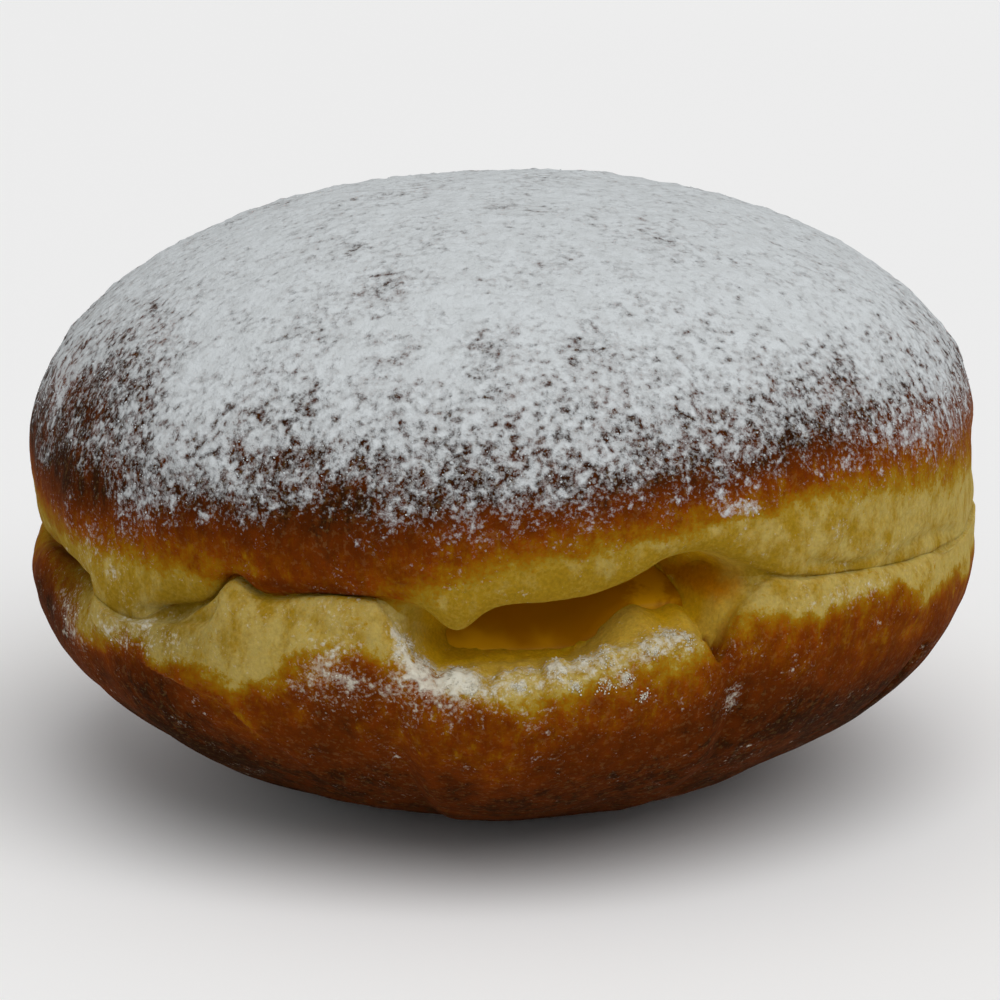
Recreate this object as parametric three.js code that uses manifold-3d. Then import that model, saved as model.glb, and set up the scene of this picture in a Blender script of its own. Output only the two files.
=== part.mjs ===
// A jelly filled doughnut: a tall round bun of fried yeast dough with a pale band round its middle,
// a fold line that runs all the way round, and a torn mouth at the front where the jelly shows.
//
// Frame: millimetres, +Z up, the bun rests on z = 0 and its axis is the Z axis.
// Azimuths are in degrees: 0 is the front (-Y), positive turns towards +X.
import * as THREE from "three";
import Module from "manifold-3d";

// ---- The bun as a whole ----
const BUN_HEIGHT = 57;
const BASE_RADIUS = 15; // the flat spot it rests on
const UPPER_RADIUS = 44.8;
const LOWER_RADIUS = 45.2;
const UPPER_EQUATOR = 33.5; // height of the upper lobe's widest level
const LOWER_EQUATOR = 22.8;
const UPPER_TILT = 1.4; // the equators rise towards +X by this much
const LOWER_TILT = 1.9;
const DOME_POWER = 2.08; // superellipse powers: 2 is a true ellipse, more is boxier
const UNDERSIDE_POWER = 1.83;
const DOME_POWER_LEAN = 0.09; // boxier towards +X
const UNDERSIDE_POWER_LEAN = 0.07;
const APEX_SHIFT = -1.2; // the crown sits a little towards -X
const PLAN_WAVE = 0.25; // how far the soft corners stand out in plan
const PLAN_CORNERS = 3;

// ---- The fold line: the lower edge of the upper lobe ----
const LIP_HEIGHT = 26.2;
const LIP_FRONT_RISE = 0.8; // higher at the front than at the back
const LIP_WAVES = [
  { name: "left side droop", at: -95, width: 38, rise: -1.0 },
  { name: "left sag", at: -48.3, width: 10.4, rise: -3.3 },
  { name: "left arch", at: -32.4, width: 2.6, rise: 2.1 },
  { name: "front left rise", at: -18, width: 11, rise: 1.5 },
  { name: "hanging point over the mouth", at: -5, width: 2.9, rise: -2.1 },
  { name: "mouth rise", at: 3.7, width: 10, rise: 1.2 },
  { name: "pocket arch", at: 21.6, width: 8.9, rise: 3.9 },
  { name: "right rise", at: 35, width: 18, rise: 1.4 },
  { name: "right side rise", at: 98, width: 13, rise: 0.8 },
  { name: "back right sag", at: 132, width: 24, rise: -0.7 },
  { name: "back sag", at: 174, width: 17, rise: -1.2 },
  { name: "back left rise", at: -152, width: 20, rise: 0.6 },
  { name: "left side rise", at: -120, width: 15, rise: 0.9 },
];
const FOLD = { gap: 0.3, depth: 0.6, shoulder: 1.9, bend: 2.4 }; // shoulder: how far each lobe curls in
const CLOSED_FOLDS = [ // where the lobes have grown together, down to this share of the fold
  { name: "left sag", from: -56, to: -43, edge: 1.6, endEdge: 2, share: 0.04 },
  { name: "front right", from: 33, to: 64, edge: 3, endEdge: 4, share: 0.5 },
  { name: "right side", from: 60, to: 110, edge: 8, endEdge: 14, share: 0.06 },
  { name: "back", from: 106, to: 258, edge: 14, endEdge: 16, share: 0.22 },
];

// ---- The torn mouth, and the shallow pocket to the right of it ----
const TORN = { from: -11.2, to: 29.2, edge: 3.4, endEdge: 4.6 };
const RIM = { low: 21.7, high: 24.6, from: -2, to: 21 }; // the torn lower rim climbs towards +X
const MOUTH = { from: -8, to: 24.5, edge: 5, endEdge: 3, depth: 12.5, bend: 5 };
const LEDGE = { height: 22.1, share: 0.35, backRise: 1 }; // the mouth's floor, and its share of the depth
const LEDGE_CLIMB = { from: 8.5, to: 18.5, rise: 4.2 }; // the floor climbs to the mouth's right end
const POCKET = { from: 20, to: 29.2, edge: 2.4, depth: 5.2, bend: 1.1 };
const FOLD_BACK = 0.5; // height of the fold's back, as a share of the way from the rim to the lip
const POCKET_BACK = 0.8;
const NOTCH = { at: 25.4, width: 1.7, drop: 2.3 }; // the V where the pocket runs out over the rim
const RIM_CRAGS = { height: 0.4, pitch: 5.3 }; // torn crumb along the lower rim
const CRAG_TONES = [ // the crags are a sum of waves: pitch, phase and share of each
  { pitch: 1, phase: 0, share: 0.5 },
  { pitch: 1.83, phase: 1.1, share: 0.3 },
  { pitch: 3.1, phase: 0.4, share: 0.2 },
];
const SHOULDER_HEIGHT = 3; // least height from the lower equator up to the rim
const SHOULDER_POWER = 2; // both lobes turn in to the fold by a true ellipse

// ---- The gap under the overhang at the left ----
const OVERHANG = { from: -92, to: -58, edge: 7, endEdge: 3.5, gap: 1.6, depth: 1.8 };

// ---- Relief on the lower lobe: [azimuth, height] along each line ----
const BULGE_EDGE = [[-53, 21.6], [-44, 19.6], [-33.5, 17.6], [-27, 11.5], [-24, 6]];
const BULGE = { step: 1.1, reach: 7, sharp: 0.5, at: -38, width: 20, foot: 8 }; // foot: it fades in below
const FURROW_LINE = [[25.8, 21.5], [26.4, 19], [28.2, 14.5]];
const FURROW = { depth: 0.7, width: 1.5 };
const LEFT_HOLLOW = { at: -68, width: 11, height: 23.5, tall: 5, depth: 2.4 };

// ---- The jelly: a flat lens in the middle with a broad tongue out through the mouth ----
const JELLY_HEIGHT = 26.2; // of its middle plane
const JELLY_MOUTH_HEIGHT = 24.6;
const JELLY_RADIUS = 19;
const JELLY_HALF_THICKNESS = 6.2;
const TONGUE = { from: -17, to: 28, edge: 5, endEdge: 3.5, reach: 38.2 };
const TONGUE_LEAN = { step: 1.4, power: 0.9 }; // above the ledge the tongue's face falls back
const JELLY_POWER = 3; // blunt round the edge
const JELLY_GAP = 0.3;

// ---- Mesh density ----
const DOUGH_COLUMNS = 84;
const FRONT_CROWDING = 0.6; // 0 spaces the columns evenly, towards 1 crowds them at the front
const ROWS = { base: 1, underside: 12, lowerShoulder: 7, floor: 7, roof: 6, upperShoulder: 7, dome: 14 };
const JELLY_COLUMNS = 48;
const JELLY_ROWS = 9;

const HALF_TURN = 180;
const MM_PER_DEGREE = (Math.PI * LOWER_RADIUS) / HALF_TURN;

const clamp01 = (value) => Math.min(1, Math.max(0, value));
const mix = (a, b, share) => a + (b - a) * share;
const smooth = (value) => clamp01(value) ** 2 * (3 - 2 * clamp01(value));
const radians = (degrees) => (degrees * Math.PI) / HALF_TURN;

/** The azimuth difference a - b, between -180 and 180. */
function turnBetween(a, b) {
  const turn = (a - b + HALF_TURN) % (2 * HALF_TURN);
  return (turn < 0 ? turn + 2 * HALF_TURN : turn) - HALF_TURN;
}

/** A soft bump of height 1 at one azimuth. */
const wave = (azimuth, at, width) => Math.exp(-((turnBetween(azimuth, at) / width) ** 2));

/** 1 between two azimuths, falling to 0 over the edge at each end. */
function stretch(azimuth, { from, to, edge, endEdge = edge }) {
  const half = (to - from) / 2;
  const turn = turnBetween(azimuth, from + half);
  return smooth(0.5 + (half + turn) / (2 * edge)) * smooth(0.5 + (half - turn) / (2 * endEdge));
}

/** The ragged height of torn crumb along the rim, between -1 and 1. */
function crag(azimuth) {
  const step = (azimuth * 2 * Math.PI) / RIM_CRAGS.pitch;
  let height = 0;
  for (const { pitch, phase, share } of CRAG_TONES) height += share * Math.sin(pitch * step + phase);
  return height;
}

/** Signed distance in mm over the skin from a line on it, positive on the line's +X side. */
function fromLine(line, azimuth, height) {
  let best = { distance: Infinity, side: 1 };
  for (let i = 0; i + 1 < line.length; i += 1) {
    const [a0, h0] = line[i];
    const dx = (line[i + 1][0] - a0) * MM_PER_DEGREE;
    const dy = line[i + 1][1] - h0;
    const x = turnBetween(azimuth, a0) * MM_PER_DEGREE;
    const y = height - h0;
    const share = clamp01((x * dx + y * dy) / (dx * dx + dy * dy));
    const distance = Math.hypot(x - dx * share, y - dy * share);
    if (distance < best.distance) best = { distance, side: Math.sign(dx * y - dy * x) || 1 };
  }
  return best.distance * best.side;
}

/** Height of the mouth's floor just inside the rim. */
function ledgeHeight(azimuth) {
  const climb = smooth((azimuth - LEDGE_CLIMB.from) / (LEDGE_CLIMB.to - LEDGE_CLIMB.from));
  return LEDGE.height + LEDGE_CLIMB.rise * climb;
}

/** The sizes that set the section through the bun at one azimuth. */
function sectionSizes(azimuth) {
  const towardsX = Math.sin(radians(azimuth));
  const plan = PLAN_WAVE * Math.cos(radians(PLAN_CORNERS * azimuth));
  const mouth = stretch(azimuth, MOUTH);
  const pocket = stretch(azimuth, POCKET) * (1 - mouth);
  const overhang = stretch(azimuth, OVERHANG);
  const torn = stretch(azimuth, TORN);
  const pinch = Math.min(...CLOSED_FOLDS.map((fold) => mix(1, fold.share, stretch(azimuth, fold))));
  let lip = LIP_HEIGHT + LIP_FRONT_RISE * Math.cos(radians(azimuth));
  for (const { at, width, rise } of LIP_WAVES) lip += rise * wave(azimuth, at, width);
  const closedRim = lip - FOLD.gap - OVERHANG.gap * overhang;
  const tornRim = mix(RIM.low, RIM.high, smooth((azimuth - RIM.from) / (RIM.to - RIM.from)));
  const evenRim = mix(closedRim, tornRim, torn);
  const notch = NOTCH.drop * wave(azimuth, NOTCH.at, NOTCH.width);
  const rim = evenRim + RIM_CRAGS.height * crag(azimuth) * torn - notch;
  const depth = FOLD.depth * pinch + (MOUTH.depth - FOLD.depth) * mouth
    + (POCKET.depth - FOLD.depth) * pocket
    + OVERHANG.depth * overhang;
  const lowerEquator = Math.min(LOWER_EQUATOR + LOWER_TILT * towardsX, evenRim - SHOULDER_HEIGHT);
  return {
    lip,
    rim,
    depth,
    shoulder: FOLD.shoulder * pinch,
    ledge: ledgeHeight(azimuth),
    mouth,
    pocket,
    upperRadius: UPPER_RADIUS + plan,
    lowerRadius: LOWER_RADIUS + plan,
    upperEquator: UPPER_EQUATOR + UPPER_TILT * towardsX,
    lowerEquator,
    domePower: DOME_POWER + DOME_POWER_LEAN * towardsX,
    undersidePower: UNDERSIDE_POWER + UNDERSIDE_POWER_LEAN * towardsX,
  };
}

/** A quarter of a superellipse from (1, 0) to (0, 1), by share of the way. */
function quarter(share, power) {
  const angle = (share * Math.PI) / 2;
  return [Math.max(0, Math.cos(angle)) ** (2 / power), Math.max(0, Math.sin(angle)) ** (2 / power)];
}

/** How far the skin of the lower lobe stands out, in mm, at one azimuth and height. */
function lowerRelief(azimuth, height) {
  const edge = fromLine(BULGE_EDGE, azimuth, height);
  const step = BULGE.step * smooth(0.5 + edge / (2 * BULGE.sharp));
  const bulge = step * Math.exp(-Math.max(0, edge) / BULGE.reach);
  const near = wave(azimuth, BULGE.at, BULGE.width) * smooth(height / BULGE.foot);
  const furrow = FURROW.depth * Math.exp(-((fromLine(FURROW_LINE, azimuth, height) / FURROW.width) ** 2));
  const hollow = LEFT_HOLLOW.depth * wave(azimuth, LEFT_HOLLOW.at, LEFT_HOLLOW.width)
    * Math.exp(-(((height - LEFT_HOLLOW.height) / LEFT_HOLLOW.tall) ** 2));
  return bulge * near - furrow - hollow;
}

/** The section's outline at one azimuth, from the base's middle up to the crown: [radius, height]. */
function section(azimuth) {
  const s = sectionSizes(azimuth);
  const points = [];
  const run = (count, place) => {
    for (let i = 0; i < count; i += 1) points.push(place(i / count));
  };
  const relief = (radius, height) => [radius + lowerRelief(azimuth, height), height];

  run(ROWS.base, (share) => [BASE_RADIUS * share, 0]);

  const start = Math.asin((BASE_RADIUS / s.lowerRadius) ** (s.undersidePower / 2)) / (Math.PI / 2);
  const drop = s.lowerEquator / quarter(start, s.undersidePower)[0];
  run(ROWS.underside, (share) => {
    const [down, out] = quarter(mix(start, 1, share), s.undersidePower);
    const height = Math.max(0, s.lowerEquator - drop * down);
    return share === 0 ? [BASE_RADIUS, 0] : relief(s.lowerRadius * out, height);
  });

  const rimRadius = s.lowerRadius - s.shoulder;
  run(ROWS.lowerShoulder, (share) => {
    const [out, up] = quarter(share, SHOULDER_POWER);
    return relief(mix(rimRadius, s.lowerRadius, out), mix(s.lowerEquator, s.rim, up));
  });

  const lipRadius = s.upperRadius - s.shoulder;
  const backRadius = Math.min(rimRadius, lipRadius) - s.depth;
  const foldBack = mix(s.rim, s.lip, mix(FOLD_BACK, POCKET_BACK, s.pocket));
  const backHeight = mix(foldBack, s.ledge + LEDGE.backRise, s.mouth);
  const floorBend = mix(FOLD.bend, POCKET.bend, s.pocket);
  const roofBend = mix(FOLD.bend, MOUTH.bend, s.mouth);
  run(ROWS.floor, (share) => {
    const kept = lowerRelief(azimuth, s.rim) * (1 - share);
    const foldFloor = mix(s.rim, foldBack, share ** floorBend);
    const mouthFloor = mix(s.rim, s.ledge, smooth(share / LEDGE.share)) + LEDGE.backRise * share ** 2;
    return [mix(rimRadius, backRadius, share) + kept, mix(foldFloor, mouthFloor, s.mouth)];
  });
  run(ROWS.roof, (share) => [
    mix(backRadius, lipRadius, share),
    mix(s.lip, backHeight, (1 - share) ** roofBend),
  ]);

  run(ROWS.upperShoulder, (share) => {
    const [down, out] = quarter(share, SHOULDER_POWER);
    return [mix(lipRadius, s.upperRadius, out), mix(s.upperEquator, s.lip, down)];
  });
  run(ROWS.dome, (share) => {
    const [out, up] = quarter(share, s.domePower);
    return [s.upperRadius * out, mix(s.upperEquator, BUN_HEIGHT, up)];
  });
  return points;
}

/** The azimuth of one of a skin's columns, which lie closer together at the front. */
function columnAzimuth(column, count) {
  const turn = (column / count) * 2 * Math.PI - Math.PI;
  return ((turn - FRONT_CROWDING * Math.sin(turn)) * HALF_TURN) / Math.PI;
}

/** A point from its azimuth, its distance from the axis and its height. */
function place(azimuth, radius, height) {
  return [radius * Math.sin(radians(azimuth)), -radius * Math.cos(radians(azimuth)), height];
}

/** A closed skin from columns of points that share their first and last point. */
function skinGeometry(columns) {
  const rings = columns[0].length - 2;
  const positions = [...columns[0][0]];
  for (let ring = 1; ring <= rings; ring += 1) {
    for (const column of columns) positions.push(...column[ring]);
  }
  positions.push(...columns[0][rings + 1]);
  const top = positions.length / 3 - 1;
  const at = (ring, column) => 1 + ring * columns.length + (column % columns.length);
  const triangles = [];
  for (let c = 0; c < columns.length; c += 1) {
    triangles.push(0, at(0, c + 1), at(0, c));
    for (let ring = 0; ring + 1 < rings; ring += 1) {
      triangles.push(at(ring, c), at(ring, c + 1), at(ring + 1, c + 1));
      triangles.push(at(ring, c), at(ring + 1, c + 1), at(ring + 1, c));
    }
    triangles.push(at(rings - 1, c), at(rings - 1, c + 1), top);
  }
  const geometry = new THREE.BufferGeometry();
  geometry.setAttribute("position", new THREE.Float32BufferAttribute(positions, 3));
  geometry.setIndex(triangles);
  return geometry;
}

/** The bun before the jelly is put in. */
function bunGeometry() {
  const columns = [];
  for (let c = 0; c < DOUGH_COLUMNS; c += 1) {
    const azimuth = columnAzimuth(c, DOUGH_COLUMNS);
    const points = section(azimuth);
    points.push([0, BUN_HEIGHT]);
    columns.push(points.map(([radius, height]) => {
      const crown = APEX_SHIFT * smooth((height - UPPER_EQUATOR) / (BUN_HEIGHT - UPPER_EQUATOR));
      const [x, y, z] = place(azimuth, radius, height);
      return [x + crown, y, z];
    }));
  }
  return skinGeometry(columns);
}

/** The jelly, or with grow above 0 the room that it lies in. */
function jellyGeometry(grow) {
  const columns = [];
  for (let c = 0; c < JELLY_COLUMNS; c += 1) {
    const azimuth = columnAzimuth(c, JELLY_COLUMNS);
    const tongue = stretch(azimuth, TONGUE);
    const reach = mix(JELLY_RADIUS, TONGUE.reach, tongue) + grow;
    const half = JELLY_HALF_THICKNESS + grow;
    const ledge = ledgeHeight(azimuth);
    const points = [];
    for (let row = 0; row <= 2 * JELLY_ROWS; row += 1) {
      const angle = (row / (2 * JELLY_ROWS)) * Math.PI;
      const full = reach * Math.sin(angle) ** (2 / JELLY_POWER);
      const side = -Math.sign(Math.cos(angle)) * Math.abs(Math.cos(angle)) ** (2 / JELLY_POWER);
      const middle = mix(JELLY_HEIGHT, JELLY_MOUTH_HEIGHT, tongue * clamp01(full / TONGUE.reach));
      const height = middle + (row === JELLY_ROWS ? 0 : half * side);
      const lean = TONGUE_LEAN.step * Math.max(0, height - ledge) ** TONGUE_LEAN.power;
      points.push(place(azimuth, full * (1 - (tongue * lean) / TONGUE.reach), height));
    }
    points[0] = [0, 0, JELLY_HEIGHT - half];
    points[2 * JELLY_ROWS] = [0, 0, JELLY_HEIGHT + half];
    columns.push(points);
  }
  return skinGeometry(columns);
}

const wasm = await Module();
wasm.setup();

function solidOf(geometry) {
  return new wasm.Manifold(new wasm.Mesh({
    numProp: 3,
    vertProperties: new Float32Array(geometry.attributes.position.array),
    triVerts: new Uint32Array(geometry.index.array),
  }));
}

function geometryOf(solid) {
  const mesh = solid.getMesh();
  const geometry = new THREE.BufferGeometry();
  geometry.setAttribute("position", new THREE.BufferAttribute(new Float32Array(mesh.vertProperties), 3));
  geometry.setIndex(new THREE.BufferAttribute(new Uint32Array(mesh.triVerts), 1));
  geometry.computeVertexNormals();
  return geometry;
}

/** The fried dough, with the room for the jelly cut out of it. */
function makeDough() {
  const dough = solidOf(bunGeometry()).subtract(solidOf(jellyGeometry(JELLY_GAP)));
  const material = new THREE.MeshStandardMaterial({ color: 0x8a5a24, roughness: 0.8, metalness: 0 });
  const mesh = new THREE.Mesh(geometryOf(dough), material);
  mesh.name = "dough";
  return mesh;
}

/** The amber jelly that fills the bun and shows in its mouth. */
function makeJelly() {
  const material = new THREE.MeshStandardMaterial({ color: 0x9a6405, roughness: 0.25, metalness: 0 });
  const mesh = new THREE.Mesh(geometryOf(solidOf(jellyGeometry(0))), material);
  mesh.name = "jelly";
  return mesh;
}

const doughnut = new THREE.Group();
doughnut.add(makeDough(), makeJelly());

export default doughnut;
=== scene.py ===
import itertools
import math

import bpy
import numpy as np
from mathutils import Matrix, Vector, noise


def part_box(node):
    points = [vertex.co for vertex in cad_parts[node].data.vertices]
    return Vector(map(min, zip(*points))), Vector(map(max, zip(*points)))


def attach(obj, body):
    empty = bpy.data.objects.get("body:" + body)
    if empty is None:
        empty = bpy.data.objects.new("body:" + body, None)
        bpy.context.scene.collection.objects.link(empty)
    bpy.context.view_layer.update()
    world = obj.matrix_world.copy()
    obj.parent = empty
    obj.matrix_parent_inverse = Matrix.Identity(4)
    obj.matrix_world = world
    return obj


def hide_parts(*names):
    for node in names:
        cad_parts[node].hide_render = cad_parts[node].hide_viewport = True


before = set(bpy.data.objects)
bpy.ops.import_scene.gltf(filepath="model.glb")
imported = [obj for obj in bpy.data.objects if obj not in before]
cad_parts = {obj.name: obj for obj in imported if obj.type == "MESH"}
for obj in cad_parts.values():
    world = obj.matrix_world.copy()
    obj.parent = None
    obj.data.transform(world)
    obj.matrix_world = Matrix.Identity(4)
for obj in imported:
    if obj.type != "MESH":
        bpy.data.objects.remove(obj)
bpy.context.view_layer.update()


# ==== The bun =====================================================================================
# A round of yeast dough, fried on one face and then on the other. Both faces brown in the hot fat,
# and the belt between them, which floats clear of it, stays pale, soft and finely wrinkled. The belt
# folds in on itself all the way round, and at the front the fold is torn open into a mouth.

BUN_HEIGHT = 57
MM = (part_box("dough")[1].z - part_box("dough")[0].z) / BUN_HEIGHT  # all sizes below are in mm
BASE_RADIUS = 15
UPPER_RADIUS = 44.8
LOWER_RADIUS = 45.2
UPPER_EQUATOR = 33.5
LOWER_EQUATOR = 22.8
UPPER_TILT = 1.4  # the equators rise towards +X
LOWER_TILT = 1.9
DOME_POWER = 2.08  # superellipse powers: 2 is a true ellipse, more is boxier
UNDERSIDE_POWER = 1.83
DOME_POWER_LEAN = 0.09
UNDERSIDE_POWER_LEAN = 0.07
APEX_SHIFT = -1.2
PLAN_WAVE = 0.25  # how far it is out of round, seen from above, and towards how many corners
PLAN_CORNERS = 3

LIP_HEIGHT = 26.2  # the lip is the lower edge of the upper lobe
LIP_FRONT_RISE = 0.8
LIP_WAVES = [  # each a bump in the lip: azimuth and width in degrees, rise in mm
    (-95, 38, -1.0),  # the droop at the left side
    (-48.3, 10.4, -3.3),  # the left sag
    (-32.4, 2.6, 2.1),  # the small arch beside it
    (-18, 11, 1.5),
    (-5, 2.9, -2.1),  # the point that hangs over the mouth
    (3.7, 10, 1.2),
    (21.6, 8.9, 3.9),  # the arch over the pocket
    (35, 18, 1.4),
    (98, 13, 0.8),
    (132, 24, -0.7),
    (174, 17, -1.2),
    (-152, 20, 0.6),
    (-120, 15, 0.9),
]
FOLD_GAP = 0.2
FOLD_DEPTH = 0.15
FOLD_SHOULDER = 1.9  # how far each lobe curls in towards the fold
CLOSED_FOLDS = [  # where the lobes have grown together: from, to, an edge for each end, what is left
    (-56, -43, 1.6, 2, 0.04),
    (33, 64, 3, 4, 0.5),
    (60, 110, 8, 14, 0.06),
    (106, 258, 14, 16, 0.22),
]
TORN = (-11.2, 29.2, 3.4, 4.6)  # a stretch: from and to in degrees, and an edge for each end
RIM_LOW = 21.7  # the torn rim climbs from one height to the other between these azimuths
RIM_HIGH = 24.6
RIM_CLIMB = (-2, 21)
MOUTH = (-8, 24.5, 5, 3)
MOUTH_DEPTH = 12.5
LEDGE = 22.1  # height of the mouth's floor just inside the rim
LEDGE_CLIMB = (8.5, 18.5, 4.2)  # from, to, rise: the floor climbs to the mouth's right end
LEDGE_SHARE = 0.35  # how much of the depth the ledge takes
FLOOR_RISE = 1.0
POCKET = (20, 29.2, 2.4, 2.4)
POCKET_DEPTH = 5.2
NOTCH = (25.4, 1.7, -2.3)  # azimuth, width, rise
CRAG_HEIGHT = 0.4
CRAG_PITCH = 5.3
CRAG_TONES = [(1, 0, 0.5), (1.83, 1.1, 0.3), (3.1, 0.4, 0.2)]  # pitch, phase and share of each tone
SHOULDER_HEIGHT = 3
SHOULDER_POWER = 2
OVERHANG = (-92, -58, 7, 3.5)
OVERHANG_GAP = 1.6
OVERHANG_DEPTH = 1.8
FOLD_BEND = 2.4  # the lobes curl in to the fold by these powers
POCKET_BEND = 1.1
ROOF_BEND = 5
FOLD_BACK = 0.5  # where the fold's back lies, as a share of the way from the rim up to the lip
POCKET_BACK = 0.8

BULGE_EDGE = [(-53, 21.6), (-44, 19.6), (-33.5, 17.6), (-27, 11.5), (-24, 6)]  # azimuth, height
BULGE_STEP = 1.1  # how far it stands out along its edge, and over what distance it sinks back
BULGE_REACH = 7
BULGE_SHARP = 0.5  # half the width of the step
BULGE_MIDDLE = -38
BULGE_WIDTH = 20
BULGE_FOOT = 8  # it fades out below this height
FURROW_LINE = [(25.8, 21.5), (26.4, 19), (28.2, 14.5)]
FURROW_DEPTH = 0.7
FURROW_WIDTH = 1.5
LEFT_HOLLOW = (-68, 23.5, 11, 5, 2.4)  # azimuth, height, width, how tall, how deep

COLUMNS = 432
FRONT_CROWDING = 0.5  # the columns lie closer together at the front, where the tear is
BASE_ROWS = 3
UNDERSIDE_ROWS = 55
SHOULDER_ROWS = 20
FLOOR_ROWS = 26
ROOF_ROWS = 18
DOME_ROWS = 67


def blend(a, b, share):
    return a + (b - a) * share


def smooth(value):
    value = np.clip(value, 0, 1)
    return value * value * (3 - 2 * value)


def turn_between(a, b):
    return (a - b + 180) % 360 - 180


def wave(azimuth, at, width):
    return np.exp(-(turn_between(azimuth, at) / width) ** 2)


def patch(azimuth, height, at, middle, width, tall, amount=1):
    """The amount at one place on the skin, falling to 0 all round it."""
    return amount * wave(azimuth, at, width) * np.exp(-((height - middle) / tall) ** 2)


def add_waves(azimuth, start, waves):
    return start + sum(rise * wave(azimuth, at, width) for at, width, rise in waves)


def stretch(azimuth, span):
    """1 between two azimuths, falling to 0 over the edge at each end."""
    start, end, edge, end_edge = span
    half = (end - start) / 2
    turn = turn_between(azimuth, start + half)
    return smooth(0.5 + (half + turn) / (2 * edge)) * smooth(0.5 + (half - turn) / (2 * end_edge))


def quarter(share, power):
    """A quarter of a superellipse from (1, 0) to (0, 1)."""
    angle = share * math.pi / 2
    return np.maximum(0, np.cos(angle)) ** (2 / power), np.maximum(0, np.sin(angle)) ** (2 / power)


def from_line(line, azimuth, height):
    """Distance in mm over the skin from a line, positive on its +X side."""
    degree = math.radians(LOWER_RADIUS)
    nearest = np.full(np.shape(height), np.inf)
    side = np.ones(np.shape(height))
    for (azimuth_0, height_0), (azimuth_1, height_1) in zip(line, line[1:]):
        run = (azimuth_1 - azimuth_0) * degree
        climb = height_1 - height_0
        x = turn_between(azimuth, azimuth_0) * degree
        y = height - height_0
        share = np.clip((x * run + y * climb) / (run * run + climb * climb), 0, 1)
        distance = np.hypot(x - run * share, y - climb * share)
        side = np.where(distance < nearest, np.sign(run * y - climb * x), side)
        nearest = np.minimum(nearest, distance)
    return nearest * np.where(side == 0, 1, side)


def section_sizes(azimuth):
    """The sizes that set the bun's section at each azimuth."""
    towards_x = np.sin(np.radians(azimuth))
    plan = PLAN_WAVE * np.cos(np.radians(PLAN_CORNERS * azimuth))
    mouth = stretch(azimuth, MOUTH)
    pocket = stretch(azimuth, POCKET) * (1 - mouth)
    overhang = stretch(azimuth, OVERHANG)
    torn = stretch(azimuth, TORN)
    pinch = 1
    for *span, left in CLOSED_FOLDS:
        pinch = np.minimum(pinch, blend(1, left, stretch(azimuth, span)))
    lip = add_waves(azimuth, LIP_HEIGHT + LIP_FRONT_RISE * np.cos(np.radians(azimuth)), LIP_WAVES)
    climb = smooth((azimuth - RIM_CLIMB[0]) / (RIM_CLIMB[1] - RIM_CLIMB[0]))
    even_rim = blend(lip - FOLD_GAP - OVERHANG_GAP * overhang, blend(RIM_LOW, RIM_HIGH, climb), torn)
    ledge_from, ledge_to, ledge_rise = LEDGE_CLIMB
    step = azimuth * 2 * math.pi / CRAG_PITCH
    crag = sum(share * np.sin(pitch * step + phase) for pitch, phase, share in CRAG_TONES)
    return {
        "lip": lip,
        "rim": add_waves(azimuth, even_rim + CRAG_HEIGHT * crag * torn, [NOTCH]),
        "depth": FOLD_DEPTH * pinch + (MOUTH_DEPTH - FOLD_DEPTH) * mouth
        + (POCKET_DEPTH - FOLD_DEPTH) * pocket + OVERHANG_DEPTH * overhang,
        "shoulder": FOLD_SHOULDER * pinch,
        "open": pinch,
        "ledge": LEDGE + ledge_rise * smooth((azimuth - ledge_from) / (ledge_to - ledge_from)),
        "mouth": mouth,
        "pocket": pocket,
        "torn": torn,
        "upper_radius": UPPER_RADIUS + plan,
        "lower_radius": LOWER_RADIUS + plan,
        "upper_equator": UPPER_EQUATOR + UPPER_TILT * towards_x,
        "lower_equator": np.minimum(
            LOWER_EQUATOR + LOWER_TILT * towards_x, even_rim - SHOULDER_HEIGHT),
        "dome_power": DOME_POWER + DOME_POWER_LEAN * towards_x,
        "underside_power": UNDERSIDE_POWER + UNDERSIDE_POWER_LEAN * towards_x,
    }


def lower_relief(azimuth, height):
    """The bulge, furrow and hollow of the lower lobe, in mm out from its plain skin."""
    edge = from_line(BULGE_EDGE, azimuth, height)
    bulge = BULGE_STEP * smooth(0.5 + edge / (2 * BULGE_SHARP))
    bulge *= np.exp(-np.maximum(0, edge) / BULGE_REACH)
    bulge *= wave(azimuth, BULGE_MIDDLE, BULGE_WIDTH)
    bulge *= smooth(height / BULGE_FOOT)
    furrow = FURROW_DEPTH * np.exp(-(from_line(FURROW_LINE, azimuth, height) / FURROW_WIDTH) ** 2)
    return bulge - furrow - patch(azimuth, height, *LEFT_HOLLOW)


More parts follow.
